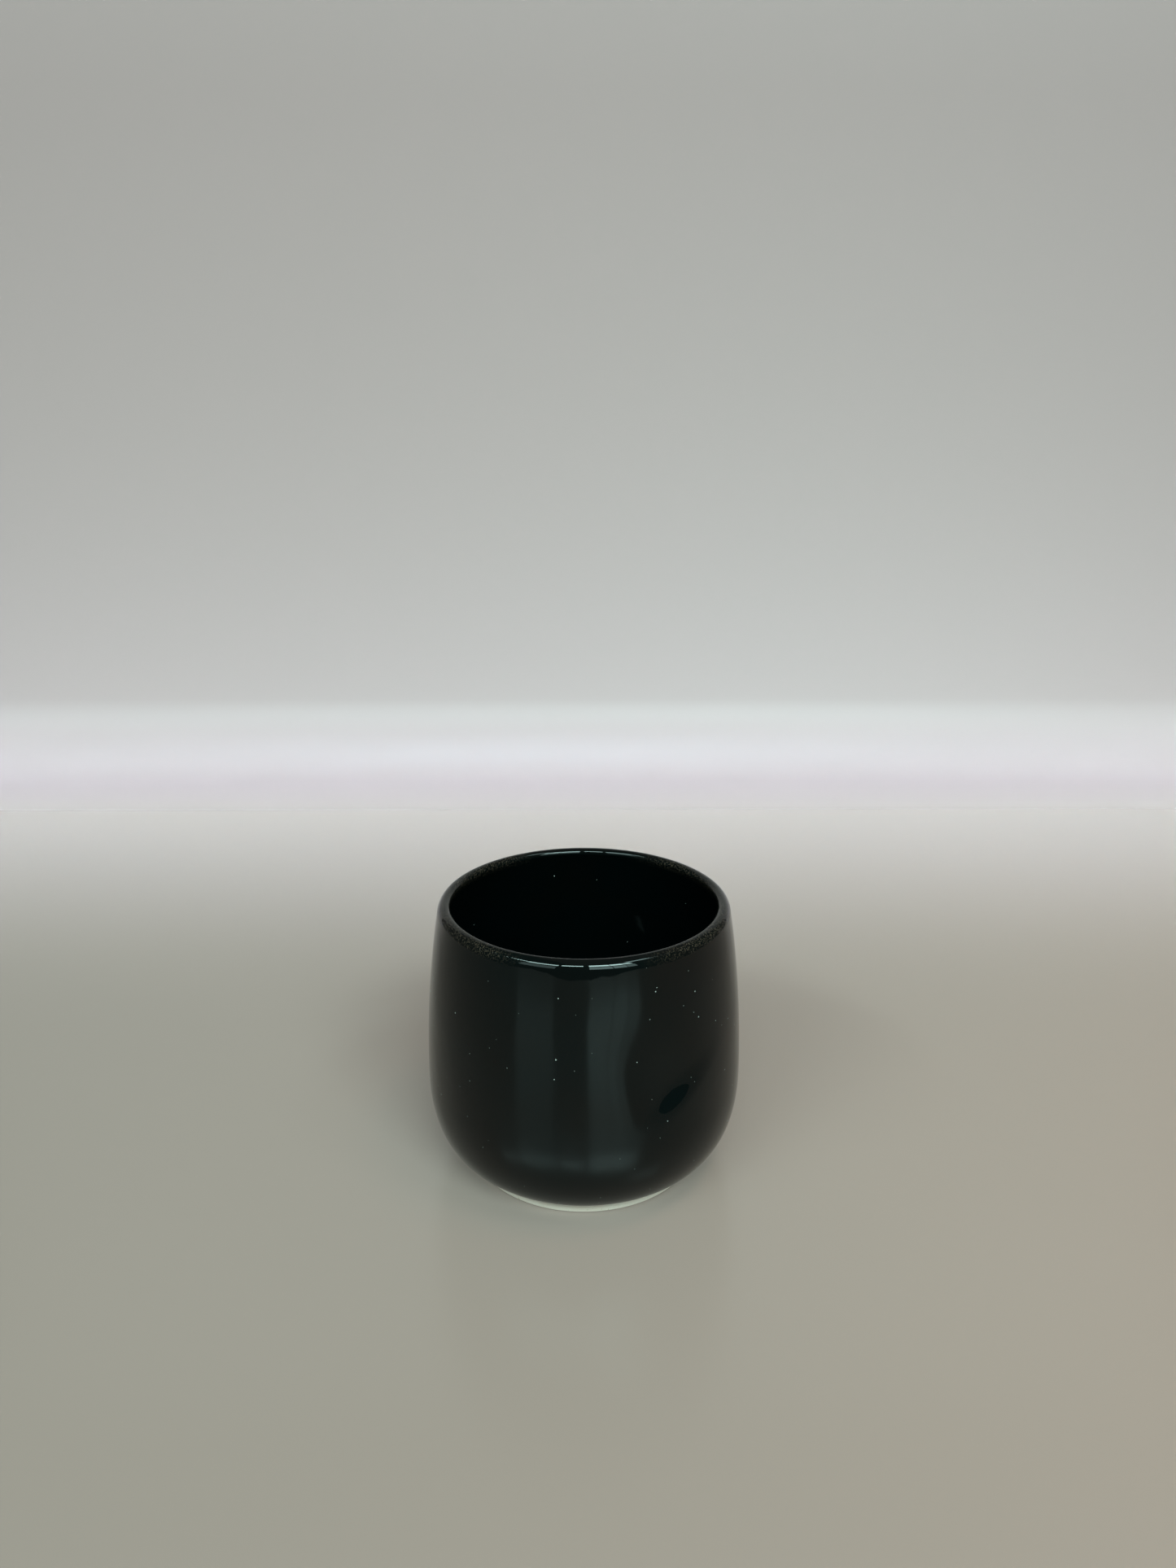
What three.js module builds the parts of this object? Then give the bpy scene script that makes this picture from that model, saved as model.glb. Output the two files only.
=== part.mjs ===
/**
 * Empty candle jar: a round-bellied stoneware tumbler with a rounded lip and a bare foot.
 *
 * Three bodies make it up, as a potter would list them: the fired clay, a liner glaze poured inside, and
 * a dipped glaze that covers the outside and wraps over the lip. Both coats lie face to face with the
 * clay, and they meet each other at the inner edge of the lip.
 *
 * Millimetres and degrees, +Z up. The origin is on the table, at the centre of the foot.
 */
import * as THREE from 'three';

// ---- Overall shape ----
const jarHeight = 74.8; // table to the crest of the lip
const bellyDiameter = 85.0; // widest, over the glaze
const bellyHeight = 26.3; // table to the widest level
const mouthDiameter = 70.5; // narrowest, inside the lip

// ---- Lip ----
const lipInnerRoll = 1.3; // radius from the crest to the inner edge
const lipOuterWidth = 2.14; // crest to shoulder, across
const lipOuterRise = 2.18; // shoulder to crest, up

// ---- Foot ----
const footDiameter = 62.4; // over the bare clay
const footHeight = 3.2; // bare clay, table to glaze line
const footChamfer = 0.5; // on the edge that meets the table
const footRingWidth = 6.0; // standing ring, rim to recess
const recessDepth = 1.2; // underside inside the ring
const heelSlope = 22.0; // rise of the wall where it leaves the foot

// ---- Clay and glaze ----
const clayWall = 2.7; // at the belly
const clayFloor = 5.0; // recess to the bottom of the well
const glazeCoat = 0.4; // each coat
const wellFlatDiameter = 44.0; // level part of the well's floor

// ---- Fullness of the curves: how far each end pulls along its own direction ----
const heelPull = 0.31;
const bellyPull = 0.49;
const wallPull = 1 / 3;
const shoulderPull = 0.35;
const crestPull = 0.38;
const wellSidePull = 0.46;
const wellFloorPull = 0.5;

const turns = 64; // facets round the axis

const UP = new THREE.Vector2(0, 1);
const DOWN = new THREE.Vector2(0, -1);
const INWARD = new THREE.Vector2(-1, 0);

/** Direction in the section, measured from outward-level towards up. */
function heading(degrees) {
  const angle = THREE.MathUtils.degToRad(degrees);
  return new THREE.Vector2(Math.cos(angle), Math.sin(angle));
}

/** Smooth curve that leaves one point and arrives at another along set directions. */
function bend(from, leaving, to, arriving, leavingPull, arrivingPull) {
  const span = from.distanceTo(to);
  const leaveHandle = from.clone().addScaledVector(leaving, leavingPull * span);
  const arriveHandle = to.clone().addScaledVector(arriving, -arrivingPull * span);
  return new THREE.CubicBezierCurve(from, leaveHandle, arriveHandle, to);
}

/** Circular arc about a centre, turning anticlockwise between two angles in degrees. */
function arc(centre, radius, startDegrees, endDegrees) {
  const start = THREE.MathUtils.degToRad(startDegrees);
  const end = THREE.MathUtils.degToRad(endDegrees);
  return new THREE.EllipseCurve(centre.x, centre.y, radius, radius, start, end, false);
}

/**
 * Points along a chain of curves, each paired with the point one coat below it.
 * The chain runs with the material on its left, so the coat's depth is measured to the left.
 */
function coated(chain) {
  const pairs = [];
  chain.forEach(({ curve, steps }, index) => {
    for (let step = index === 0 ? 0 : 1; step <= steps; step += 1) {
      const surface = curve.getPoint(step / steps);
      const along = curve.getTangent(step / steps);
      const below = new THREE.Vector2(-along.y, along.x).multiplyScalar(glazeCoat).add(surface);
      pairs.push({ surface, below });
    }
  });
  return pairs;
}

/** Solid of revolution about +Z from a section given as (radius, height) points. */
function turned(section) {
  const geometry = new THREE.LatheGeometry(section, turns);
  geometry.rotateX(Math.PI / 2);
  return geometry;
}

/** Named mesh with its own plain material. */
function piece(name, section, color, roughness) {
  const material = new THREE.MeshStandardMaterial({ color, roughness, metalness: 0 });
  const mesh = new THREE.Mesh(turned(section), material);
  mesh.name = name;
  return mesh;
}

// ---- Points that the curves share ----
const belly = new THREE.Vector2(bellyDiameter / 2, bellyHeight);
const crest = new THREE.Vector2(mouthDiameter / 2 + lipInnerRoll, jarHeight);
const shoulder = new THREE.Vector2(crest.x + lipOuterWidth, jarHeight - lipOuterRise);
const wallLean = THREE.MathUtils.radToDeg(2 * Math.atan2(belly.x - shoulder.x, shoulder.y - belly.y));
const lipCentre = new THREE.Vector2(crest.x, jarHeight - lipInnerRoll);
const innerRoll = arc(lipCentre, lipInnerRoll, 90, 180 + wallLean);
const footRadius = footDiameter / 2;
const wellBelly = new THREE.Vector2(belly.x - clayWall - 2 * glazeCoat, bellyHeight);
const wellFloor = recessDepth + clayFloor + glazeCoat;
const wellFlat = new THREE.Vector2(wellFlatDiameter / 2, wellFloor);

/** Outside of the dipped coat, from the glaze line up the wall and over the lip to its inner edge. */
function outsideChain() {
  const leaveFoot = heading(heelSlope);
  const glazeLine = new THREE.Vector2(footRadius, footHeight);
  glazeLine.addScaledVector(heading(heelSlope - 90), glazeCoat);
  const leanUp = heading(90 + wallLean);
  return [
    { curve: bend(glazeLine, leaveFoot, belly, UP, heelPull, bellyPull), steps: 9 },
    { curve: bend(belly, UP, shoulder, leanUp, wallPull, wallPull), steps: 6 },
    { curve: bend(shoulder, leanUp, crest, INWARD, shoulderPull, crestPull), steps: 4 },
    { curve: innerRoll, steps: 4 },
  ];
}

/** Face of the liner coat, from the lip's inner edge down the wall to the level floor of the well. */
function insideChain() {
  const leanDown = heading(270 + wallLean);
  return [
    { curve: bend(innerRoll.getPoint(1), leanDown, wellBelly, DOWN, wallPull, wallPull), steps: 6 },
    { curve: bend(wellBelly, DOWN, wellFlat, INWARD, wellSidePull, wellFloorPull), steps: 8 },
  ];
}

/** Section of the underside, from the axis out to the top of the bare foot. */
function footSection() {
  const ringInner = footRadius - footRingWidth;
  return [
    new THREE.Vector2(0, recessDepth),
    new THREE.Vector2(ringInner - recessDepth, recessDepth),
    new THREE.Vector2(ringInner, 0),
    new THREE.Vector2(footRadius - footChamfer, 0),
    new THREE.Vector2(footRadius, footChamfer),
  ];
}

/** Fired stoneware: foot, wall, lip and floor, under both coats. */
function clayBody(outside, inside) {
  const outer = outside.map((pair) => pair.below);
  const inner = inside.slice(1).map((pair) => pair.below);
  const floorCentre = new THREE.Vector2(0, wellFloor - glazeCoat);
  return piece('clay_body', [...footSection(), ...outer, ...inner, floorCentre], 0xcbbfab, 0.85);
}

/** Dipped coat: up its face, then back down against the clay. */
function outerGlaze(outside) {
  const face = outside.map((pair) => pair.surface);
  const bond = outside.map((pair) => pair.below).reverse();
  return piece('outer_glaze', [...face, ...bond, face[0]], 0x161b1a, 0.1);
}

/** Liner coat: out and up against the clay, then back down its face to the middle of the well. */
function innerGlaze(inside) {
  const bond = inside.map((pair) => pair.below).reverse();
  const face = inside.map((pair) => pair.surface);
  const bondCentre = new THREE.Vector2(0, wellFloor - glazeCoat);
  const faceCentre = new THREE.Vector2(0, wellFloor);
  return piece('inner_glaze', [bondCentre, ...bond, ...face, faceCentre], 0x0e1312, 0.12);
}

const outside = coated(outsideChain());
const inside = coated(insideChain());
const jar = new THREE.Group();
jar.name = 'empty_candle_jar';
jar.add(clayBody(outside, inside), outerGlaze(outside), innerGlaze(inside));

export default jar;
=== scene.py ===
"""Empty candle jar: a round-bellied stoneware tumbler in a black glaze, standing on a paper sweep.

The jar is three bodies of revolution, each turned from its own section by one Geometry Nodes tree: the
fired clay, the liner glaze poured inside, and the dipped glaze that wraps over the lip. A second tree
scatters the kiln specks. Units are metres, +Z up, with the foot on the floor at the origin.
"""

from __future__ import annotations

import logging
import math
from bisect import bisect_left
from dataclasses import dataclass, field
from enum import Enum

import bpy
from bpy.types import Material, Mesh, Node, NodeSocket, NodeTree, Object
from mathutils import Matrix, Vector

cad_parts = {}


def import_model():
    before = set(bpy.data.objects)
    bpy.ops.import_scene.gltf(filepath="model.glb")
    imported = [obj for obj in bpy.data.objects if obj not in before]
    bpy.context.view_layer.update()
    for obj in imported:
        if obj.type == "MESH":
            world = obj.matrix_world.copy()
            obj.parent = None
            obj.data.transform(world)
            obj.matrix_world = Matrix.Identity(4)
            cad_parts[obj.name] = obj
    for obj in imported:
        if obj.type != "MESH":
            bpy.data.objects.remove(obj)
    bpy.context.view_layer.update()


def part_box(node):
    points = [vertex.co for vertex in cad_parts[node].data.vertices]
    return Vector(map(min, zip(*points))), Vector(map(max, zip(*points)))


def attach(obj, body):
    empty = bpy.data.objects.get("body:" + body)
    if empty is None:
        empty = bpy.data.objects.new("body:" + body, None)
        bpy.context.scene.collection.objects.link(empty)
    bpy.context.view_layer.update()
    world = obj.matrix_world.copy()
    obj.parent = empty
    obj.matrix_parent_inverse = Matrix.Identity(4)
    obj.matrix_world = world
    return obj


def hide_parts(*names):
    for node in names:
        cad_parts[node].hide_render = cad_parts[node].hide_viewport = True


logger = logging.getLogger("candle_jar")

MM = 0.001
ROOT_BODY = "root"

# Sockets that share a name with others on their node, so they go by place: the Mix node's colours, and
# the Random Value node's number.
MIX_FIRST = 6
MIX_SECOND = 7
MIX_RESULT = 2
RANDOM_NUMBER = 1

# Octaves of a noise pattern.
SMOOTH = 1.0
PATCHY = 2.0
GRAINY = 3.0

MERGE_DISTANCE = 0.001 * MM


# ---- Helpers shared by the finishes and the trees ----


def linear(hex_code: str) -> tuple[float, float, float, float]:
    """Turn an sRGB hex colour into the linear colour that shaders use.

    Args:
        hex_code: Colour such as "#1a2b3c".

    Returns:
        Linear red, green and blue, and full opacity.
    """
    digits = hex_code.lstrip("#")
    channels = (int(digits[i : i + 2], 16) / 255 for i in (0, 2, 4))
    red, green, blue = (c / 12.92 if c <= 0.04045 else ((c + 0.055) / 1.055) ** 2.4 for c in channels)
    return red, green, blue, 1.0


def add_node(
    tree: NodeTree, kind: str, inputs: dict[str | int, object] | None = None, **settings: object
) -> Node:
    """Add a node, set its properties, and fill or link its inputs.

    Args:
        tree: Tree that gets the node.
        kind: Blender's type name for the node.
        inputs: Input name or number, to either a value or an output socket to link from.
        **settings: Properties of the node, such as its operation or data type.

    Returns:
        The new node.
    """
    node = tree.nodes.new(kind)
    for name, value in settings.items():
        setattr(node, name, value)
    for key, value in (inputs or {}).items():
        if isinstance(value, NodeSocket):
            tree.links.new(value, node.inputs[key])
        else:
            node.inputs[key].default_value = value
    return node


def combine(tree: NodeTree, operation: str, first: object, second: object) -> NodeSocket:
    """Work out one number from two numbers or sockets, by an operation such as "MULTIPLY"."""
    return add_node(tree, "ShaderNodeMath", {0: first, 1: second}, operation=operation).outputs[0]


def rise(tree: NodeTree, value: NodeSocket, low: float, high: float, curve: str = "LINEAR") -> NodeSocket:
    """Rise from 0 to 1 while a value goes from low to high, along a line or another curve."""
    values = {"Value": value, "From Min": low, "From Max": high}
    return add_node(tree, "ShaderNodeMapRange", values, interpolation_type=curve).outputs[0]


def between(tree: NodeTree, share: NodeSocket, low: object, high: object) -> NodeSocket:
    """Go from low to high while a share goes from 0 to 1."""
    values = {"Value": share, "To Min": low, "To Max": high}
    return add_node(tree, "ShaderNodeMapRange", values).outputs[0]


def noise(tree: NodeTree, where: NodeSocket, size: float, octaves: float) -> NodeSocket:
    """Add a noise pattern of a real size, from 0 to 1, with octaves of finer pattern in it."""
    values = {"Vector": where, "Scale": 1 / size, "Detail": octaves}
    return add_node(tree, "ShaderNodeTexNoise", values).outputs["Fac"]


def blend(tree: NodeTree, share: NodeSocket, first: object, second: object) -> NodeSocket:
    """Mix two colours, each given as a colour or a socket, by the share of the second one."""
    values = {0: share, MIX_FIRST: first, MIX_SECOND: second}
    return add_node(tree, "ShaderNodeMix", values, data_type="RGBA").outputs[MIX_RESULT]


def relief(
    tree: NodeTree, pattern: NodeSocket, height: float, under: NodeSocket | None = None
) -> NodeSocket:
    """Raise a pattern from a surface by bump.

    Args:
        tree: Tree that does it.
        pattern: Socket of the pattern.
        height: Height of its peaks.
        under: Socket of the relief that it lies on, if any.

    Returns:
        Socket of the bumped normal.
    """
    values = {"Height": pattern, "Distance": height}
    if under is not None:
        values["Normal"] = under
    return add_node(tree, "ShaderNodeBump", values).outputs[0]


def from_axis(tree: NodeTree, where: NodeSocket) -> tuple[NodeSocket, NodeSocket]:
    """Work out where a point lies as seen from the upright axis.

    Args:
        tree: Tree that does it.
        where: Socket of the point.

    Returns:
        Sockets of the level direction away from the axis, and of the distance.
    """
    level_part = {0: where, 1: (1.0, 1.0, 0.0)}
    flat = add_node(tree, "ShaderNodeVectorMath", level_part, operation="MULTIPLY").outputs[0]
    outward = add_node(tree, "ShaderNodeVectorMath", {0: flat}, operation="NORMALIZE")
    radius = add_node(tree, "ShaderNodeVectorMath", {0: flat}, operation="LENGTH")
    return outward.outputs["Vector"], radius.outputs["Value"]


def shifted(tree: NodeTree, shape: NodeSocket, way: NodeSocket, amount: NodeSocket) -> NodeSocket:
    """Move each point of a shape by an amount along its own direction."""
    offset = add_node(tree, "ShaderNodeVectorMath", {0: way, "Scale": amount}, operation="SCALE").outputs[0]
    return add_node(tree, "GeometryNodeSetPosition", {"Geometry": shape, "Offset": offset}).outputs[0]


def hand_out(tree: NodeTree, shape: NodeSocket, finish: NodeSocket, output: str) -> None:
    """End a Geometry Nodes tree: make its instances real, dress the shape and send it out.

    Args:
        tree: Tree to end.
        shape: Socket of the shape.
        finish: Socket of its material.
        output: Name of the tree's output.
    """
    plain = add_node(tree, "GeometryNodeRealizeInstances", {"Geometry": shape}).outputs[0]
    dressed = add_node(tree, "GeometryNodeSetMaterial", {"Geometry": plain, "Material": finish})
    add_node(tree, "NodeGroupOutput", {output: dressed.outputs[0]})


def add_sockets(tree: NodeTree, inputs: dict[str, str], output: str) -> None:
    """Give a Geometry Nodes tree its named inputs and its geometry output.

    Args:
        tree: Tree that gets them.
        inputs: Name of each input, to its type.
        output: Name of the output.
    """
    for name, kind in inputs.items():
        tree.interface.new_socket(name=name, in_out="INPUT", socket_type=f"NodeSocket{kind}")
    tree.interface.new_socket(name=output, in_out="OUTPUT", socket_type="NodeSocketGeometry")


def new_material(name: str) -> tuple[Material, NodeTree, NodeSocket]:
    """Make an empty node material.

    Args:
        name: Name of the material.

    Returns:
        The material, its node tree, and the socket of the object's coordinates.
    """
    material = bpy.data.materials.new(name)
    material.use_nodes = True
    tree = material.node_tree
    tree.nodes.clear()
    return material, tree, add_node(tree, "ShaderNodeTexCoord").outputs["Object"]


def surface(tree: NodeTree, values: dict[str, object]) -> None:
    """Finish a material with a Principled shader that has these inputs."""
    shader = add_node(tree, "ShaderNodeBsdfPrincipled", values)
    add_node(tree, "ShaderNodeOutputMaterial", {"Surface": shader.outputs[0]})


def object_from(data: bpy.types.ID, name: str) -> Object:
    """Put a mesh, light or camera in the scene as an object at the origin.

    Args:
        data: What the object holds.
        name: Name of the object.

    Returns:
        The linked object.
    """
    holder = bpy.data.objects.new(name, data)
    bpy.context.scene.collection.objects.link(holder)
    return holder


def applied(piece: Object, tree: NodeTree, values: dict[str, object]) -> Mesh:
    """Run a Geometry Nodes tree on an object and hand back its result as a plain mesh.

    Args:
        piece: Object whose mesh goes in. It is removed afterwards.
        tree: Tree to run.
        values: Input name to its value.

    Returns:
        The finished mesh.
    """
    modifier = piece.modifiers.new("shape", "NODES")
    modifier.node_group = tree
    for item in tree.interface.items_tree:
        if item.item_type == "SOCKET" and item.in_out == "INPUT" and item.name in values:
            modifier[item.identifier] = values[item.name]
    graph = bpy.context.evaluated_depsgraph_get()
    mesh = bpy.data.meshes.new_from_object(piece.evaluated_get(graph), depsgraph=graph)
    piece.modifiers.remove(modifier)
    if mesh.materials[0] is None:
        # Primitives made inside a tree bring an empty first slot with them.
        mesh.materials.pop(index=0)
    host = piece.data
    bpy.data.objects.remove(piece)
    bpy.data.meshes.remove(host)
    return mesh


# ---- Finishes ----


@dataclass(frozen=True)
class BlackDipGlaze:
    """Glossy black iron glaze, dipped and fired: a near-black glass that reads only by what it mirrors.

    Attributes:
        name: Name of the material.
        pool: Colour where the coat is thick, a green black.
        iron: Colour where iron comes to the surface, a brown black.
        rust_grain_and_sheen: Colour of the crystals where the coat thins over the lip, lighter than the
            crystals alone: partly painted sheen.
        ior: Index of a glassy coat.
        roughness: Smoothness of the fired surface.
        cloud: Size of the thick and thin areas.
        swell: Width of the slow waves that the coat dries and fires with.
        swell_height: Height of those waves.
        peel: Width of the fired surface's own ripple.
        peel_height: Height of that ripple.
        crystal: Size of the lip's crystals. The real ones are finer than the eye can part here.
        crystal_height: Height of those crystals.
        crystal_from: Level of the crystal pattern where a crystal begins.
        crystal_full: Level where it has its full colour and height.
        lip_start: Height on the jar where the coat starts to thin.
        lip_end: Height where it is thinnest.
        side_start: Distance to either side of the middle where the lip's crystals start.
        side_end: Distance where they are thickest.
    """

    name: str = "black_iron_glaze_dipped"
    pool: str = "#000708"
    iron: str = "#060504"
    rust_grain_and_sheen: str = "#3a3129"
    ior: float = 1.31
    roughness: float = 0.025
    cloud: float = 22 * MM
    swell: float = 9 * MM
    swell_height: float = 0.07 * MM
    peel: float = 2.5 * MM
    peel_height: float = 0.004 * MM
    crystal: float = 0.36 * MM
    crystal_height: float = 0.02 * MM
    crystal_from: float = 0.5
    crystal_full: float = 0.68
    lip_start: float = 71.5 * MM
    lip_end: float = 74.0 * MM
    side_start: float = 12.0 * MM
    side_end: float = 26.0 * MM

    def build(self) -> Material:
        """Make the material.

        Returns:
            The glaze material.
        """
        material, tree, where = new_material(self.name)
        # Thick and thin coat: the black is never quite even.
        clouds = noise(tree, where, self.cloud, GRAINY)
        tone = blend(tree, clouds, linear(self.pool), linear(self.iron))
        # Thin coat over the lip: rusty brown crystals break through at its two sides. Their lighter brown
        # is partly painted sheen, for the warm grainy glint on the lip's left and right.
        axes = add_node(tree, "ShaderNodeSeparateXYZ", {"Vector": where}).outputs
        aside = add_node(tree, "ShaderNodeMath", {0: axes["X"]}, operation="ABSOLUTE").outputs[0]
        by_level = rise(tree, axes["Z"], self.lip_start, self.lip_end, "SMOOTHSTEP")
        by_side = rise(tree, aside, self.side_start, self.side_end, "SMOOTHSTEP")
        thin = combine(tree, "MULTIPLY", by_level, by_side)
        grains = noise(tree, where, self.crystal, GRAINY)
        rust_and_sheen = combine(tree, "MULTIPLY", thin, rise(tree, grains, self.crystal_from, self.crystal_full))
        colour = blend(tree, rust_and_sheen, tone, linear(self.rust_grain_and_sheen))
        # Waves and ripple of a dipped coat: they bend what the glaze mirrors.
        waves = relief(tree, noise(tree, where, self.swell, SMOOTH), self.swell_height)
        ripple = relief(tree, noise(tree, where, self.peel, SMOOTH), self.peel_height, waves)
        values = {
            "Base Color": colour,
            "Roughness": self.roughness,
            "IOR": self.ior,
            "Normal": relief(tree, rust_and_sheen, self.crystal_height, ripple),
        }
        surface(tree, values)
        return material


@dataclass(frozen=True)
class BareStoneware:
    """Fired, unglazed stoneware, cast and sponged: a matt cream clay with a pink cast and fine grog.

    Attributes:
        name: Name of the material.
        clay: Main colour.
        blush: Colour of the warmer patches.
        fleck: Colour of the iron flecks.
        roughness: Dry surface.
        patch: Size of the warmer patches.
        grog: Size of the grains.
        grog_height: How far the grains stand up.
        fleck_from: Level of the grain pattern where a fleck begins.
        fleck_full: Level where it has its full colour.
    """

    name: str = "bare_stoneware_sponged"
    clay: str = "#b3a79d"
    blush: str = "#b29c90"
    fleck: str = "#8d7a68"
    roughness: float = 0.88
    patch: float = 9 * MM
    grog: float = 0.6 * MM
    grog_height: float = 0.03 * MM
    fleck_from: float = 0.66
    fleck_full: float = 0.74

    def build(self) -> Material:
        """Make the material.

        Returns:
            The clay material.
        """
        material, tree, where = new_material(self.name)
        # Warm patches from the fire, and dark flecks in the grains of the sponged clay.
        patches = noise(tree, where, self.patch, PATCHY)
        grains = noise(tree, where, self.grog, GRAINY)
        base = blend(tree, patches, linear(self.clay), linear(self.blush))
        flecks = rise(tree, grains, self.fleck_from, self.fleck_full)
        values = {
            "Base Color": blend(tree, flecks, base, linear(self.fleck)),
            "Roughness": self.roughness,
            "Normal": relief(tree, grains, self.grog_height),
        }
        surface(tree, values)
        return material


@dataclass(frozen=True)
class CoatedPaper:
    """Smooth coated background paper, rolled: warm grey, with a low sheen that dulls where it is bent up,
    and a painted cooler tint where it hangs, for the cooler light on the backdrop.

    Attributes:
        name: Name of the material.
        sheet: Colour where the sheet lies flat.
        hung_painted_tint: Colour where it hangs, a touch cooler than the sheet: painted tint for the cooler
            light on the backdrop.
        flat_roughness: Width of the sheen where the sheet lies flat.
        bent_roughness: Width of the sheen where the sheet is flexed and hangs.
        dull_and_tint_start: Distance behind the axis where the sheen starts to dull and the painted tint
            starts.
        dull_and_tint_end: Distance where it is dullest and the painted tint is full.
        ior: Index of the coating.
    """

    name: str = "coated_paper_rolled"
    sheet: str = "#96827b"
    hung_painted_tint: str = "#957f7e"
    flat_roughness: float = 0.23
    bent_roughness: float = 0.5
    dull_and_tint_start: float = 0.27
    dull_and_tint_end: float = 0.34
    ior: float = 1.5

    def build(self) -> Material:
        """Make the material.

        Returns:
            The paper material.
        """
        material, tree, where = new_material(self.name)
        # Satin on the table, where the jar mirrors it, and dull in the bend, where windows would glint.
        behind = add_node(tree, "ShaderNodeSeparateXYZ", {"Vector": where}).outputs["Y"]
        bent = rise(tree, behind, self.dull_and_tint_start, self.dull_and_tint_end, "SMOOTHSTEP")
        # Where the paper hangs, its colour turns a touch cooler: painted tint for the cooler light on the
        # backdrop.
        values = {
            "Base Color": blend(tree, bent, linear(self.sheet), linear(self.hung_painted_tint)),
            "Roughness": between(tree, bent, self.flat_roughness, self.bent_roughness),
            "IOR": self.ior,
        }
        surface(tree, values)
        return material


@dataclass(frozen=True)
class KilnDust:
    """Pale kiln dust, fired into the glaze: matt pinpoints, some of them greyer than others.

    Attributes:
        name: Name of the material.
        pale: Colour of the lightest specks.
        grey: Colour of the darkest specks.
        patch: Distance over which the colour changes.
        roughness: Dry surface.
    """

    name: str = "kiln_dust_fired"
    pale: str = "#8b8e89"
    grey: str = "#6c6f6a"
    patch: float = 1.5 * MM
    roughness: float = 0.7

    def build(self) -> Material:
        """Make the material.

        Returns:
            The speck material.
        """
        material, tree, where = new_material(self.name)
        # Every speck has its own grey, as dust from different props and shelves has.
        patches = noise(tree, where, self.patch, SMOOTH)
        colour = blend(tree, patches, linear(self.pale), linear(self.grey))
        surface(tree, {"Base Color": colour, "Roughness": self.roughness})
        return material


# ---- The jar ----


class Layer(Enum):
    """The three bodies of the jar, each by the name of the solid that it stands for."""

    CLAY = "clay_body"
    OUTER_GLAZE = "outer_glaze"
    INNER_GLAZE = "inner_glaze"


def heading(degrees: float) -> Vector:
    """Direction in the section, measured from outward-level towards up."""
    angle = math.radians(degrees)
    return Vector((math.cos(angle), math.sin(angle)))


@dataclass
class Bend:
    """Smooth curve in the section that leaves one point and arrives at another along set directions.

    Attributes:
        start: First point, as radius and height.
        leaving: Direction at the start.
        end: Last point.
        arriving: Direction at the end.
        leaving_pull: Share of the span that the start pulls over.
        arriving_pull: Share of the span that the end pulls over.
    """

    start: Vector
    leaving: Vector
    end: Vector
    arriving: Vector
    leaving_pull: float
    arriving_pull: float

    def controls(self) -> tuple[Vector, Vector, Vector, Vector]:
        """Return the curve's four control points."""
        span = (self.end - self.start).length
        first = self.start + self.leaving * self.leaving_pull * span
        second = self.end - self.arriving * self.arriving_pull * span
        return self.start, first, second, self.end

    def at(self, share: float) -> tuple[Vector, Vector]:
        """Find a point on the curve.

        Args:
            share: Place along the curve, from 0 to 1.

        Returns:
            The point, and the unit direction of travel there.
        """
        a, b, c, d = self.controls()
        rest = 1 - share
        point = a * rest**3 + b * 3 * rest**2 * share + c * 3 * rest * share**2 + d * share**3
        along = (b - a) * rest**2 + (c - b) * 2 * rest * share + (d - c) * share**2
        return point, along.normalized()


@dataclass
class Roll:
    """Circular arc in the section, turning anticlockwise.

    Attributes:
        centre: Middle of the arc, as radius and height.
        radius: Radius of the arc.
        start: First angle in degrees.
        end: Last angle in degrees.
    """

    centre: Vector
    radius: float
    start: float
    end: float

    def at(self, share: float) -> tuple[Vector, Vector]:
        """Find a point on the arc.

        Args:
            share: Place along the arc, from 0 to 1.

        Returns:
            The point, and the unit direction of travel there.
        """
        angle = self.start + (self.end - self.start) * share
        return self.centre + heading(angle) * self.radius, heading(angle + 90)


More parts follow.
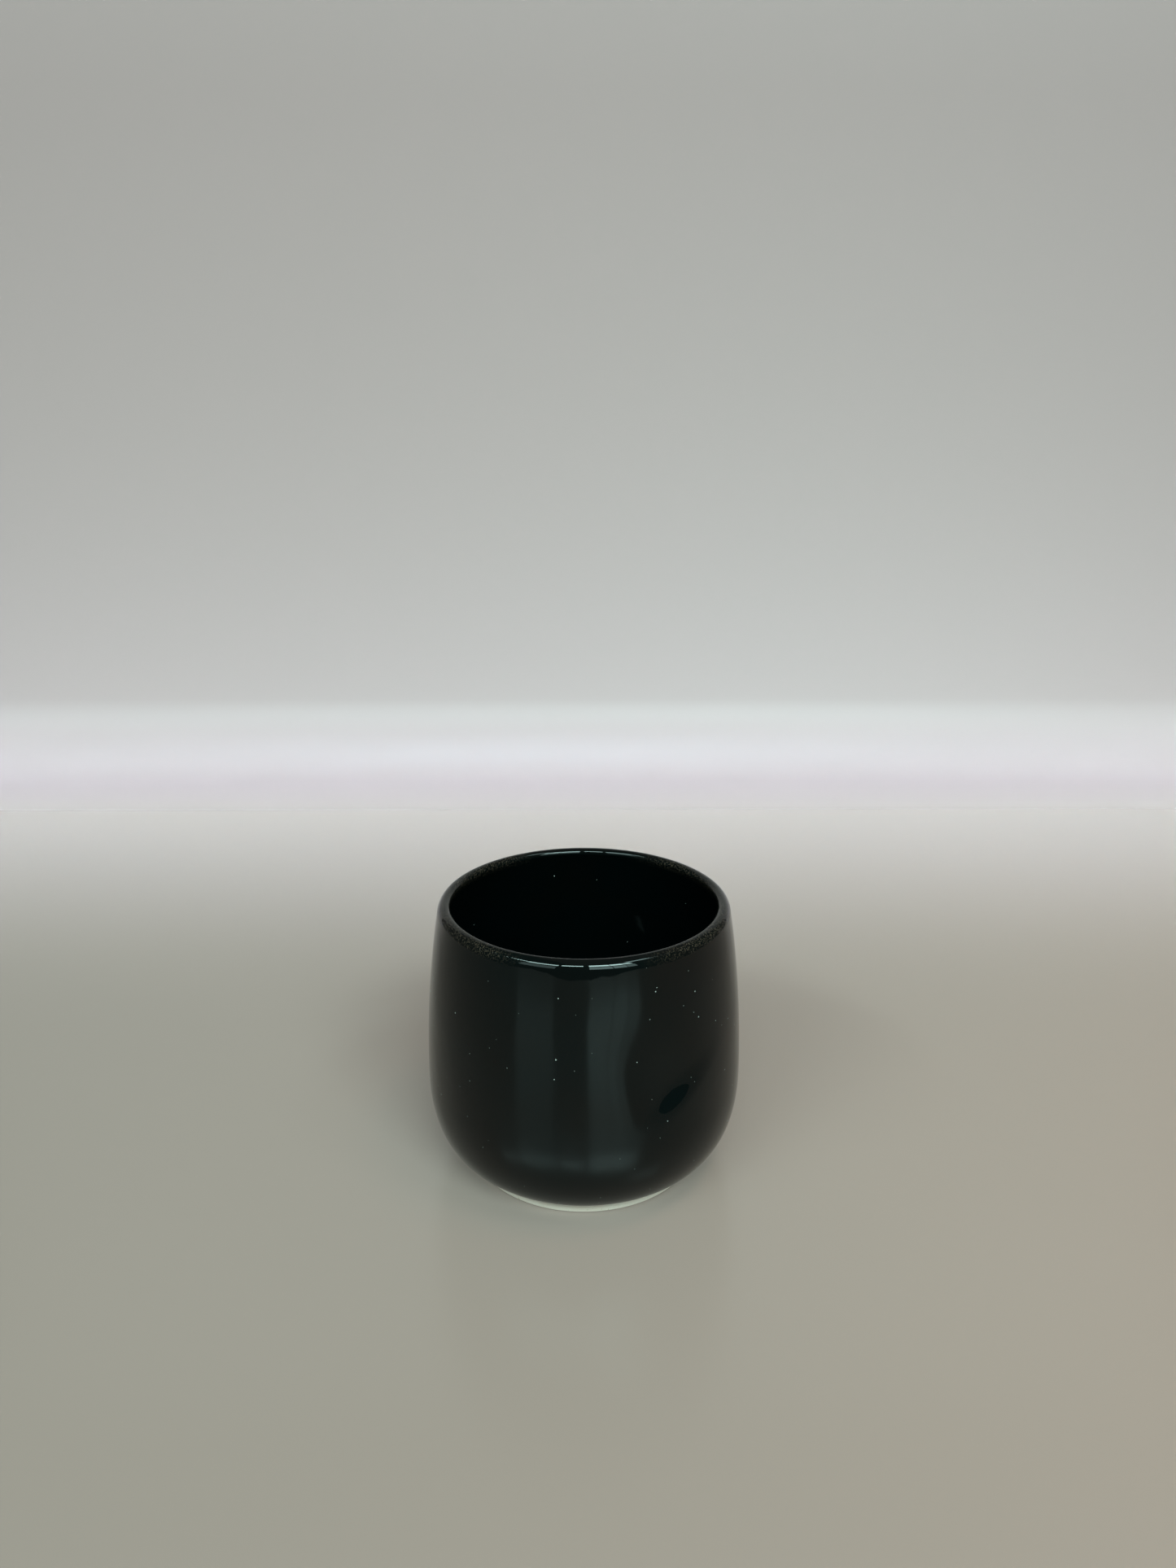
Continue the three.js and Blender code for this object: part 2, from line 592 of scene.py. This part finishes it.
@dataclass
class JarSection:
    """Half section of the jar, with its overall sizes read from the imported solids.

    Attributes:
        height: Floor to the crest of the lip.
        belly_radius: Widest radius, over the glaze.
        belly_height: Level of the widest radius.
        mouth_radius: Narrowest radius inside the lip.
        lip_inner_roll: Radius from the crest to the inner edge.
        lip_outer_width: Crest to shoulder, across.
        lip_outer_rise: Shoulder to crest, up.
        foot_radius: Radius of the bare foot.
        foot_height: Bare clay, floor to glaze line.
        foot_edge: Round on the edge that meets the floor.
        foot_ring_width: Standing ring, rim to recess.
        recess_depth: Depth of the underside inside the ring.
        heel_slope: Rise of the wall where it leaves the foot, in degrees.
        coat: Thickness of each glaze.
        clay_wall: Clay at the belly.
        well_floor: Level of the glazed floor of the well.
        well_flat_radius: Radius of the level part of that floor.
        even_pulls: Shares of the span that the two ends of an even curve pull over.
        heel_pulls: The same for the heel, from the foot to the belly.
        shoulder_pulls: The same for the outer side of the lip.
        well_pulls: The same for the lower part of the well.
        spacing: Distance between points along a curve.
        least_steps: Fewest steps that a curve is made of.
        foot_edge_steps: Steps in the foot's rounded edge.
    """

    height: float
    belly_radius: float
    belly_height: float = 26.3 * MM
    mouth_radius: float = 35.25 * MM
    lip_inner_roll: float = 1.3 * MM
    lip_outer_width: float = 2.14 * MM
    lip_outer_rise: float = 2.18 * MM
    foot_radius: float = 31.2 * MM
    foot_height: float = 3.2 * MM
    foot_edge: float = 0.5 * MM
    foot_ring_width: float = 6.0 * MM
    recess_depth: float = 1.2 * MM
    heel_slope: float = 22.0
    coat: float = 0.4 * MM
    clay_wall: float = 2.7 * MM
    well_floor: float = 6.6 * MM
    well_flat_radius: float = 22.0 * MM
    even_pulls: tuple[float, float] = (1 / 3, 1 / 3)
    heel_pulls: tuple[float, float] = (0.31, 0.49)
    shoulder_pulls: tuple[float, float] = (0.35, 0.38)
    well_pulls: tuple[float, float] = (0.46, 0.5)
    spacing: float = 0.75 * MM
    least_steps: int = 14
    foot_edge_steps: int = 6

    def lip_and_wall(self) -> tuple[Vector, Vector, Vector, float, Roll]:
        """Work out what the outside and the inside share.

        Returns:
            The belly, shoulder and crest points, the wall's lean in degrees, and the lip's inner roll.
        """
        belly = Vector((self.belly_radius, self.belly_height))
        crest = Vector((self.mouth_radius + self.lip_inner_roll, self.height))
        shoulder = Vector((crest.x + self.lip_outer_width, self.height - self.lip_outer_rise))
        lean = math.degrees(2 * math.atan2(belly.x - shoulder.x, shoulder.y - belly.y))
        centre = Vector((crest.x, self.height - self.lip_inner_roll))
        return belly, shoulder, crest, lean, Roll(centre, self.lip_inner_roll, 90, 180 + lean)

    def outside(self) -> list[tuple[Vector, Vector]]:
        """Trace the dipped coat from the glaze line, up the wall and over the lip.

        Returns:
            Points on the coat's face, each with the point on the clay under it.
        """
        belly, shoulder, crest, lean, roll = self.lip_and_wall()
        bare_edge = Vector((self.foot_radius, self.foot_height))
        glaze_line = bare_edge + heading(self.heel_slope - 90) * self.coat
        lean_up = heading(90 + lean)
        return self.coated(
            Bend(glaze_line, heading(self.heel_slope), belly, heading(90), *self.heel_pulls),
            Bend(belly, heading(90), shoulder, lean_up, *self.even_pulls),
            Bend(shoulder, lean_up, crest, heading(180), *self.shoulder_pulls),
            roll,
        )

    def inside(self) -> list[tuple[Vector, Vector]]:
        """Trace the liner coat from the lip's inner edge to the level floor of the well.

        Returns:
            Points on the coat's face, each with the point on the clay under it.
        """
        belly, _, _, lean, roll = self.lip_and_wall()
        wall = self.clay_wall + 2 * self.coat
        well_belly = Vector((belly.x - wall, self.belly_height))
        well_flat = Vector((self.well_flat_radius, self.well_floor))
        return self.coated(
            Bend(roll.at(1)[0], heading(270 + lean), well_belly, heading(270), *self.even_pulls),
            Bend(well_belly, heading(270), well_flat, heading(180), *self.well_pulls),
        )

    def coated(self, *curves: Bend | Roll) -> list[tuple[Vector, Vector]]:
        """Sample a chain of curves, with the clay on their left.

        Args:
            *curves: Curves that follow on from each other.

        Returns:
            Face point and clay point pairs.
        """
        pairs = []
        for index, curve in enumerate(curves):
            span = (curve.at(1)[0] - curve.at(0)[0]).length
            steps = max(self.least_steps, round(span / self.spacing))
            for step in range(min(index, 1), steps + 1):
                point, along = curve.at(step / steps)
                pairs.append((point, point + Vector((-along.y, along.x)) * self.coat))
        return pairs

    def skin(self) -> list[Vector]:
        """Trace the outside from the glaze line to the shoulder, where it only ever rises."""
        shoulder = self.lip_and_wall()[1]
        return [face for face, _ in self.outside() if face.y <= shoulder.y]

    def radius_at(self, skin: list[Vector], level: float) -> float:
        """Find the radius of the outside at a level.

        Args:
            skin: Points of the outside, from the lowest up.
            level: Height wanted.

        Returns:
            Radius of the outside there.
        """
        place = min(max(bisect_left([point.y for point in skin], level), 1), len(skin) - 1)
        low, high = skin[place - 1], skin[place]
        return low.x + (high.x - low.x) * (level - low.y) / (high.y - low.y)

    def underside(self) -> list[Vector]:
        """Trace the bare foot from the axis out to the foot's side.

        Returns:
            Points of the underside.
        """
        ring_inner = self.foot_radius - self.foot_ring_width
        edge = Roll(Vector((self.foot_radius - self.foot_edge, self.foot_edge)), self.foot_edge, -90, 0)
        steps = self.foot_edge_steps
        rounded = [edge.at(step / steps)[0] for step in range(steps + 1)]
        recess = Vector((ring_inner - self.recess_depth, self.recess_depth))
        return [Vector((0, self.recess_depth)), recess, Vector((ring_inner, 0)), *rounded]

    def outline(self, layer: Layer) -> tuple[list[Vector], bool]:
        """Give the section of one body.

        Args:
            layer: Body wanted.

        Returns:
            Its points, and whether the last one joins the first.
        """
        outside, inside = self.outside(), self.inside()
        clay_floor = Vector((0, self.well_floor - self.coat))
        if layer is Layer.CLAY:
            skin = [clay for _, clay in outside] + [clay for _, clay in inside[1:]]
            return [*self.underside(), *skin, clay_floor], False
        if layer is Layer.OUTER_GLAZE:
            return [face for face, _ in outside] + [clay for _, clay in reversed(outside)], True
        bond = [clay for _, clay in reversed(inside)]
        face = [face for face, _ in inside]
        return [clay_floor, *bond, *face, Vector((0, self.well_floor))], False


def turning_tree() -> NodeTree:
    """Build the tree that turns a section into a body, with the slight wobble of a hand-made wall.

    Returns:
        The Geometry Nodes tree.
    """
    tree = bpy.data.node_groups.new("turned_on_the_wheel", "GeometryNodeTree")
    inputs = {
        "Section": "Geometry",
        "Guide Radius": "Float",
        "Turns": "Int",
        "Wobble": "Float",
        "Wobble Width": "Float",
        "Seed": "Float",
        "Finish": "Material",
    }
    add_sockets(tree, inputs, "Body")
    given = add_node(tree, "NodeGroupInput").outputs
    section = add_node(tree, "GeometryNodeMeshToCurve", {"Mesh": given["Section"]})
    ring = add_node(
        tree,
        "GeometryNodeCurvePrimitiveCircle",
        {"Resolution": given["Turns"], "Radius": given["Guide Radius"]},
    )
    turned = add_node(
        tree,
        "GeometryNodeCurveToMesh",
        {"Curve": ring.outputs["Curve"], "Profile Curve": section.outputs["Curve"]},
    )
    merged = add_node(
        tree,
        "GeometryNodeMergeByDistance",
        {"Geometry": turned.outputs[0], "Distance": MERGE_DISTANCE},
    )
    # The section runs so that its faces come out looking in, and they are turned over here.
    outward_faces = add_node(tree, "GeometryNodeFlipFaces", {"Mesh": merged.outputs[0]})
    where = add_node(tree, "GeometryNodeInputPosition").outputs[0]
    scale = combine(tree, "DIVIDE", 1.0, given["Wobble Width"])
    waves = add_node(
        tree,
        "ShaderNodeTexNoise",
        {"Vector": where, "W": given["Seed"], "Scale": scale, "Detail": SMOOTH},
        noise_dimensions="4D",
    )
    inward = combine(tree, "SUBTRACT", waves.outputs["Fac"], 1.0)
    amount = combine(tree, "MULTIPLY", inward, given["Wobble"])
    outward, radius = from_axis(tree, where)
    # The wobble dies away towards the axis, so that the middle of the base stays in place.
    share = add_node(
        tree, "ShaderNodeMath", {0: radius, 1: given["Guide Radius"]}, operation="DIVIDE", use_clamp=True
    )
    eased = combine(tree, "MULTIPLY", amount, share.outputs[0])
    moved = shifted(tree, outward_faces.outputs[0], outward, eased)
    hand_out(tree, moved, given["Finish"], "Body")
    return tree


@dataclass(frozen=True)
class FingerMark:
    """Dent that the maker's finger left in the outside of the wall.

    It sinks slowly from one side to its deepest line, and climbs out steeply on the other.

    Attributes:
        turn: Compass angle of the middle of the steep side in degrees, from the front towards +X.
        level: Height of that middle.
        wall_radius: Radius of the wall there.
        tilt: Angle in degrees of the deepest line above level.
        depth: Depth of the deepest line.
        half_length: Distance along that line over which the mark fades.
        slow: Width of the slow side.
        steep: Width of the steep side.
        least: Depth below which a point is left alone.
    """

    turn: float = 34.0
    level: float = 36.8 * MM
    wall_radius: float = 42.0 * MM
    tilt: float = 35.0
    depth: float = 1.9 * MM
    half_length: float = 8.5 * MM
    slow: float = 15.0 * MM
    steep: float = 7.0 * MM
    least: float = 0.001 * MM

    def depth_at(self, point: Vector) -> float:
        """Give the mark's depth where a point of the jar stands.

        Args:
            point: Point of the jar.

        Returns:
            Depth of the mark there.
        """
        if point.y > 0:
            return 0.0
        across = self.wall_radius * (math.atan2(point.x, -point.y) - math.radians(self.turn))
        up = point.z - self.level
        axis = heading(self.tilt)
        along = across * axis.x + up * axis.y
        past = across * axis.y - up * axis.x + self.steep / 2
        fade = math.exp(-((along / self.half_length) ** 2))
        if past < 0:
            return self.depth * fade * math.exp(-((past / self.slow) ** 2))
        share = min(1.0, past / self.steep)
        return self.depth * fade * (0.5 + 0.5 * math.cos(math.pi * share))

    def press(self, mesh: Mesh, section: JarSection) -> None:
        """Push the mark into a mesh. The outside of the wall gives way, and the inside stays.

        Args:
            mesh: Body of the jar.
            section: Section that it was turned from.
        """
        skin = section.skin()
        for vertex in mesh.vertices:
            depth = self.depth_at(vertex.co)
            if depth < self.least:
                continue
            radius = math.hypot(vertex.co.x, vertex.co.y)
            inner = section.radius_at(skin, vertex.co.z) - section.clay_wall
            give = min(1.0, max(0.0, (radius - inner) / (section.clay_wall / 2)))
            vertex.co.x *= 1 - depth * give / radius
            vertex.co.y *= 1 - depth * give / radius


@dataclass(frozen=True)
class KilnSpecks:
    """Pale specks of kiln dust that sit in the surface of a glaze.

    Attributes:
        name: Name of the piece.
        layer: Glaze that they sit in.
        facing: 1 for specks on the side away from the axis, -1 for the side towards it.
        density: Specks for each square metre.
        seed: Seed of their places and sizes.
        low: Lowest level that has specks.
        high: Highest level that has specks.
        least: Radius of the smallest speck.
        greatest: Radius of the largest speck.
        sunk: How far a speck's middle lies under the surface, as a share of its radius.
        least_facing: How squarely the glaze has to face that side, from 0 to 1.
        rarity: Power that makes large specks rare.
        roundness: Times that the faces of a speck are split.
    """

    name: str
    layer: Layer
    facing: float
    density: float
    seed: int
    low: float = 6.0 * MM
    high: float = 72.5 * MM
    least: float = 0.09 * MM
    greatest: float = 0.27 * MM
    sunk: float = 0.65
    least_facing: float = 0.5
    rarity: float = 3.0
    roundness: int = 2

    def numbers(self) -> dict[str, float | int]:
        """Name the numbers that the tree works with."""
        return {
            "Facing": self.facing,
            "Density": self.density,
            "Seed": self.seed,
            "Low": self.low,
            "High": self.high,
            "Least": self.least,
            "Greatest": self.greatest,
            "Sunk": self.sunk,
        }

    def tree(self) -> NodeTree:
        """Build the tree that scatters the specks.

        Returns:
            The Geometry Nodes tree.
        """
        tree = bpy.data.node_groups.new(f"{self.name}_scatter", "GeometryNodeTree")
        numbers = self.numbers().items()
        kinds = {name: "Int" if isinstance(number, int) else "Float" for name, number in numbers}
        add_sockets(tree, {"Glaze": "Geometry", **kinds, "Finish": "Material"}, "Specks")
        given = add_node(tree, "NodeGroupInput").outputs
        where = add_node(tree, "GeometryNodeInputPosition").outputs[0]
        normal = add_node(tree, "GeometryNodeInputNormal").outputs[0]
        level = add_node(tree, "ShaderNodeSeparateXYZ", {"Vector": where}).outputs["Z"]
        outward, _ = from_axis(tree, where)
        turned = add_node(
            tree, "ShaderNodeVectorMath", {0: normal, 1: outward}, operation="DOT_PRODUCT"
        )
        facing = combine(tree, "MULTIPLY", turned.outputs["Value"], given["Facing"])
        right_side = combine(tree, "GREATER_THAN", facing, self.least_facing)
        above_low = combine(tree, "GREATER_THAN", level, given["Low"])
        below_high = combine(tree, "LESS_THAN", level, given["High"])
        in_band = combine(tree, "MULTIPLY", above_low, below_high)
        points = add_node(
            tree,
            "GeometryNodeDistributePointsOnFaces",
            {
                "Mesh": given["Glaze"],
                "Selection": combine(tree, "MULTIPLY", right_side, in_band),
                "Density": given["Density"],
                "Seed": given["Seed"],
            },
        )
        chance = add_node(tree, "FunctionNodeRandomValue", {"Seed": given["Seed"]}, data_type="FLOAT")
        # Small specks are common and large ones are rare, which a power of an even chance gives.
        rare = combine(tree, "POWER", chance.outputs[RANDOM_NUMBER], self.rarity)
        size = between(tree, rare, given["Least"], given["Greatest"])
        drop = combine(tree, "MULTIPLY", combine(tree, "MULTIPLY", size, given["Sunk"]), -1.0)
        seated = shifted(tree, points.outputs["Points"], points.outputs["Normal"], drop)
        # A ball of radius 1, so that an instance's scale is the speck's radius.
        ball = {"Radius": 1.0, "Subdivisions": self.roundness}
        grain = add_node(tree, "GeometryNodeMeshIcoSphere", ball)
        placed = add_node(
            tree,
            "GeometryNodeInstanceOnPoints",
            {
                "Points": seated,
                "Instance": grain.outputs["Mesh"],
                "Rotation": points.outputs["Rotation"],
                "Scale": size,
            },
        )
        hand_out(tree, placed.outputs[0], given["Finish"], "Specks")
        return tree

    def build(self, glaze: Object, slot: str, finish: Material) -> None:
        """Scatter the specks over a glaze, as one piece.

        Args:
            glaze: Finished glaze.
            slot: Record slot of that glaze. Not used.
            finish: Material of the specks.
        """
        values = {**self.numbers(), "Finish": finish}
        mesh = applied(object_from(glaze.data.copy(), f"{self.name}_host"), self.tree(), values)
        piece = object_from(mesh, self.name)
        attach(piece, ROOT_BODY)
        logger.info("%s: %d points, %d faces", piece.name, len(mesh.vertices), len(mesh.polygons))


@dataclass
class CandleJar:
    """The glazed jar: clay, liner and dipped coat.

    Attributes:
        section: Half section that the bodies are turned from.
        turns: Facets round the axis.
        guide_radius: Radius of the ring that carries the section round.
        wobble: Greatest distance that the wall moves in.
        wobble_width: Distance over which the wall wobbles.
        seed: Seed of the wobble, the same for all three bodies so that they stay together.
        crease: Angle in degrees above which an edge stays crisp.
        mark: Finger mark in the wall.
        specks: Kiln specks on both sides of the wall.
        slots: Record slot for each body.
    """

    section: JarSection
    turns: int = 288
    guide_radius: float = 10 * MM
    wobble: float = 0.25 * MM
    wobble_width: float = 28 * MM
    seed: float = 4.0
    crease: float = 35.0
    mark: FingerMark = FingerMark()
    specks: tuple[KilnSpecks, ...] = (
        KilnSpecks("kiln_specks_outside", Layer.OUTER_GLAZE, 1.0, 9000.0, 7),
        KilnSpecks("kiln_specks_inside", Layer.INNER_GLAZE, -1.0, 1800.0, 3),
    )
    slots: dict[Layer, str] = field(
        default_factory=lambda: {
            Layer.CLAY: "bare_stoneware",
            Layer.OUTER_GLAZE: "outer_glaze",
            Layer.INNER_GLAZE: "inner_glaze",
        }
    )

    def build(self) -> None:
        """Turn and dress the three bodies, and scatter the specks over them."""
        tree = turning_tree()
        liner = BlackDipGlaze("black_iron_glaze_poured", "#000405", "#030302", roughness=0.06)
        finishes = {
            Layer.CLAY: BareStoneware().build(),
            Layer.OUTER_GLAZE: BlackDipGlaze().build(),
            Layer.INNER_GLAZE: liner.build(),
        }
        pieces = {layer: self.turn(tree, layer, finishes[layer]) for layer in Layer}
        dust = KilnDust().build()
        for kind in self.specks:
            kind.build(pieces[kind.layer], self.slots[kind.layer], dust)

    def turn(self, tree: NodeTree, layer: Layer, finish: Material) -> Object:
        """Turn one body and put it in place of its solid.

        Args:
            tree: Tree that does the turning.
            layer: Body to make.
            finish: Its material.

        Returns:
            The finished piece.
        """
        points, closed = self.section.outline(layer)
        count = len(points)
        host = bpy.data.meshes.new(f"{layer.value}_section")
        edges = [(i, (i + 1) % count) for i in range(count if closed else count - 1)]
        # A section's +Y ends up pointing down on the ring, so heights go in with their sign changed.
        host.from_pydata([(p.x - self.guide_radius, -p.y, 0.0) for p in points], edges, [])
        values = {
            "Guide Radius": self.guide_radius,
            "Turns": self.turns,
            "Wobble": self.wobble,
            "Wobble Width": self.wobble_width,
            "Seed": self.seed,
            "Finish": finish,
        }
        mesh = applied(object_from(host, f"{layer.value}_host"), tree, values)
        self.mark.press(mesh, self.section)
        mesh.set_sharp_from_angle(angle=math.radians(self.crease))
        piece = object_from(mesh, f"{layer.value}_finished")
        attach(piece, ROOT_BODY)
        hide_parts(layer.value)
        logger.info("%s: %d points, %d faces", piece.name, len(mesh.vertices), len(mesh.polygons))
        return piece


# ---- The studio ----


@dataclass
class PaperSweep:
    """Paper that lies on the table and curves up into the backdrop.

    Attributes:
        front: Distance of the front edge from the jar's axis.
        bend_start: Distance behind the axis where the paper starts to rise.
        bend_radius: Radius of the first part of the rise.
        bend_angle: Angle in degrees that the first part turns through.
        easing_radius: Radius of the rest of the rise.
        lean: Angle in degrees that the hanging part ends at. Past 90 it comes forward to its bar.
        top: Height of the backdrop.
        half_width: Half the width of the paper on the table.
        flare: How much further each side reaches at the backdrop.
        steps: Strips along each part of the rise.
        gap: Distance from the foot down to the paper, so that the two faces don't lie in one plane.
    """

    front: float = 0.46
    bend_start: float = 0.33
    bend_radius: float = 0.05
    bend_angle: float = 75.0
    easing_radius: float = 0.7
    lean: float = 101.0
    top: float = 0.47
    half_width: float = 0.345
    flare: float = 0.075
    steps: int = 24
    gap: float = 0.05 * MM

    def outline(self) -> list[Vector]:
        """Trace the paper from its front edge to its top.

        Returns:
            Points as distance behind the axis and height.
        """
        first_end = self.bend_angle - 90
        first = Roll(Vector((self.bend_start, self.bend_radius)), self.bend_radius, -90, first_end)
        second_centre = first.centre - heading(first_end) * (self.easing_radius - self.bend_radius)
        second = Roll(second_centre, self.easing_radius, first_end, self.lean - 90)
        line = [Vector((-self.front, 0))]
        line += [first.at(i / self.steps)[0] for i in range(self.steps)]
        line += [second.at(i / self.steps)[0] for i in range(self.steps + 1)]
        hanging = heading(self.lean)
        return [*line, line[-1] + hanging * (self.top - line[-1].y) / hanging.y]

    def build(self) -> None:
        """Make the sweep."""
        line = self.outline()
        reach = self.front + line[-1].x
        widths = [self.half_width + self.flare * (self.front + p.x) / reach for p in line]
        points = [
            (side * width, point.x, point.y - self.gap)
            for point, width in zip(line, widths)
            for side in (-1, 1)
        ]
        faces = [(2 * i, 2 * i + 1, 2 * i + 3, 2 * i + 2) for i in range(len(line) - 1)]
        mesh = bpy.data.meshes.new("paper_sweep")
        mesh.from_pydata(points, [], faces)
        mesh.shade_smooth()
        mesh.materials.append(CoatedPaper().build())
        sweep = object_from(mesh, "paper_sweep")


def area_light(name: str, length: float, width: float, radiance: float, tint: str) -> Object:
    """Make a rectangular light whose face has a set brightness.

    Args:
        name: Name of the light.
        length: Length of the face.
        width: Width of the face.
        radiance: Brightness of the face.
        tint: Colour of the light.

    Returns:
        The light object, at the origin and pointing down.
    """
    light = bpy.data.lights.new(name, "AREA")
    light.shape = "RECTANGLE"
    light.size = length
    light.size_y = width
    light.energy = radiance * math.pi * length * width
    light.color = linear(tint)[:3]
    return object_from(light, name)


@dataclass(frozen=True)
class Sash:
    """One row of panes.

    Attributes:
        low: Elevation of its lower edge in degrees, seen from the jar.
        high: Elevation of its upper edge.
        radiance: Brightness of the glass.
    """

    low: float
    high: float
    radiance: float


@dataclass(frozen=True)
class Window:
    """Window with glazing bars, as one soft light for each pane, placed by where it is seen from the jar.

    Attributes:
        name: Name of the window.
        columns: Compass angles in degrees of each column's two sides. 0 is straight behind the jar, and
            they grow clockwise, seen from above.
        strength: Brightness of this window against the others.
        sashes: Rows of panes, the uppermost first. That one shows the sky.
        tint: Colour of the daylight.
        distance: Distance from the jar's axis to the glass.
    """

    name: str
    columns: tuple[tuple[float, float], ...]
    strength: float = 1.0
    sashes: tuple[Sash, ...] = (Sash(36.0, 46.0, 25.0), Sash(12.0, 31.0, 4.5))
    tint: str = "#d0f6f2"
    distance: float = 2.2

    def build(self) -> None:
        """Hang every pane."""
        for column, (left, right) in enumerate(self.columns):
            for row, sash in enumerate(self.sashes):
                self.hang_pane(f"{self.name}_{column}_{row}", left, right, sash)

    def hang_pane(self, name: str, left: float, right: float, sash: Sash) -> None:
        """Hang one pane, upright and facing the jar's axis.

        Args:
            name: Name of the light.
            left: Compass angle of one side.
            right: Compass angle of the other side.
            sash: Row that the pane belongs to.
        """
        turn = math.radians((left + right) / 2)
        spread = math.radians(abs(right - left) / 2)
        sill, head = (self.distance * math.tan(math.radians(angle)) for angle in (sash.low, sash.high))
        across = 2 * self.distance * math.tan(spread)
        lamp = area_light(name, across, head - sill, self.strength * sash.radiance, self.tint)
        lamp.location = (
            self.distance * math.sin(turn),
            self.distance * math.cos(turn),
            (sill + head) / 2,
        )
        lamp.rotation_euler = (math.radians(90), 0.0, math.pi - turn)


@dataclass(frozen=True)
class Softbox:
    """Rectangular softbox that hangs over the set and points straight down.

    Attributes:
        name: Name of the light.
        place: Where its middle hangs.
        length: Length across the paper.
        width: Width along the paper.
        radiance: Brightness of its face.
        tint: Colour of the light.
        spread: Angle in degrees that its grid lets through.
        mirrored: Whether glossy surfaces mirror it.
    """

    name: str
    place: tuple[float, float, float]
    length: float
    width: float
    radiance: float
    tint: str
    spread: float = 180.0
    mirrored: bool = True

    def build(self) -> None:
        """Hang the softbox."""
        lamp = area_light(self.name, self.length, self.width, self.radiance, self.tint)
        lamp.data.spread = math.radians(self.spread)
        lamp.location = self.place
        lamp.visible_glossy = self.mirrored


@dataclass
class StudioCamera:
    """Phone-like camera, close to the jar and looking down on it.

    Attributes:
        place: Where the lens stands.
        down: Angle in degrees that it looks below level.
        right: Angle in degrees that it looks to the right of the jar.
        lens: Focal length in millimetres.
        film: Longer side of the film in millimetres.
        nearest: Distance of the nearest thing that it sees.
    """

    place: tuple[float, float, float] = (0.0, -0.28657, 0.19825)
    down: float = 17.8
    right: float = 0.22
    lens: float = 27.03
    film: float = 36.0
    nearest: float = 0.01

    def build(self) -> None:
        """Set up the camera and make it the scene's own."""
        data = bpy.data.cameras.new("studio_camera")
        data.lens = self.lens
        data.sensor_width = self.film
        data.clip_start = self.nearest
        camera = object_from(data, "studio_camera")
        camera.location = self.place
        camera.rotation_euler = (math.radians(90 - self.down), 0.0, math.radians(-self.right))
        bpy.context.scene.camera = camera


@dataclass
class Studio:
    """Room around the jar: paper, windows behind the camera, dim walls, and the camera.

    Attributes:
        room: Colour of the dim room.
        room_strength: Brightness of the room.
        windows: Windows behind the camera.
        softboxes: Lights overhead.
    """

    room: str = "#a8a39a"
    room_strength: float = 0.25
    windows: tuple[Window, ...] = (
        Window("window_left", ((201, 228),), 0.6, (Sash(37.5, 44.0, 50.0), Sash(12.0, 31.0, 4.5))),
        Window("window_middle", ((180, 198),), 1.0, (Sash(39.0, 43.5, 52.0),)),
        Window("window_right", ((159.3, 176), (149, 158.7)), 1.55),
        Window("window_far_right", ((141, 148.6),), 1.1),
        Window("transom_left", ((229, 243),), 1.0, (Sash(40.5, 42.5, 45.0),)),
        Window("transom_right", ((115, 140),), 1.0, (Sash(50.0, 57.0, 12.0),)),
    )
    softboxes: tuple[Softbox, ...] = (
        Softbox("ceiling_box", (0.7, -0.2, 1.5), 2.0, 2.0, 0.12, "#fff4e6"),
        Softbox("floor_box", (0.5, -0.25, 1.1), 0.5, 0.5, 1.15, "#ffdcb8", 60.0, False),
        Softbox("backdrop_strip", (-0.15, 0.315, 0.9), 1.6, 0.08, 5.6, "#cdecff", 28.0, False),
    )

    def build(self) -> None:
        """Set up everything that isn't the jar."""
        StudioCamera().build()
        PaperSweep().build()
        for light in (*self.windows, *self.softboxes):
            light.build()
        world = bpy.data.worlds.new("dim_room")
        world.use_nodes = True
        back = world.node_tree.nodes["Background"]
        back.inputs["Color"].default_value = linear(self.room)
        back.inputs["Strength"].default_value = self.room_strength
        bpy.context.scene.world = world
        bpy.context.scene.view_settings.view_transform = "Standard"


def main() -> None:
    """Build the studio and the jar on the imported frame."""
    logging.basicConfig(level=logging.INFO, format="%(name)s: %(message)s")
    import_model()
    Studio().build()
    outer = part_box(Layer.OUTER_GLAZE.value)[1]
    CandleJar(JarSection(height=outer.z, belly_radius=outer.x)).build()


if __name__ == "__main__":
    main()
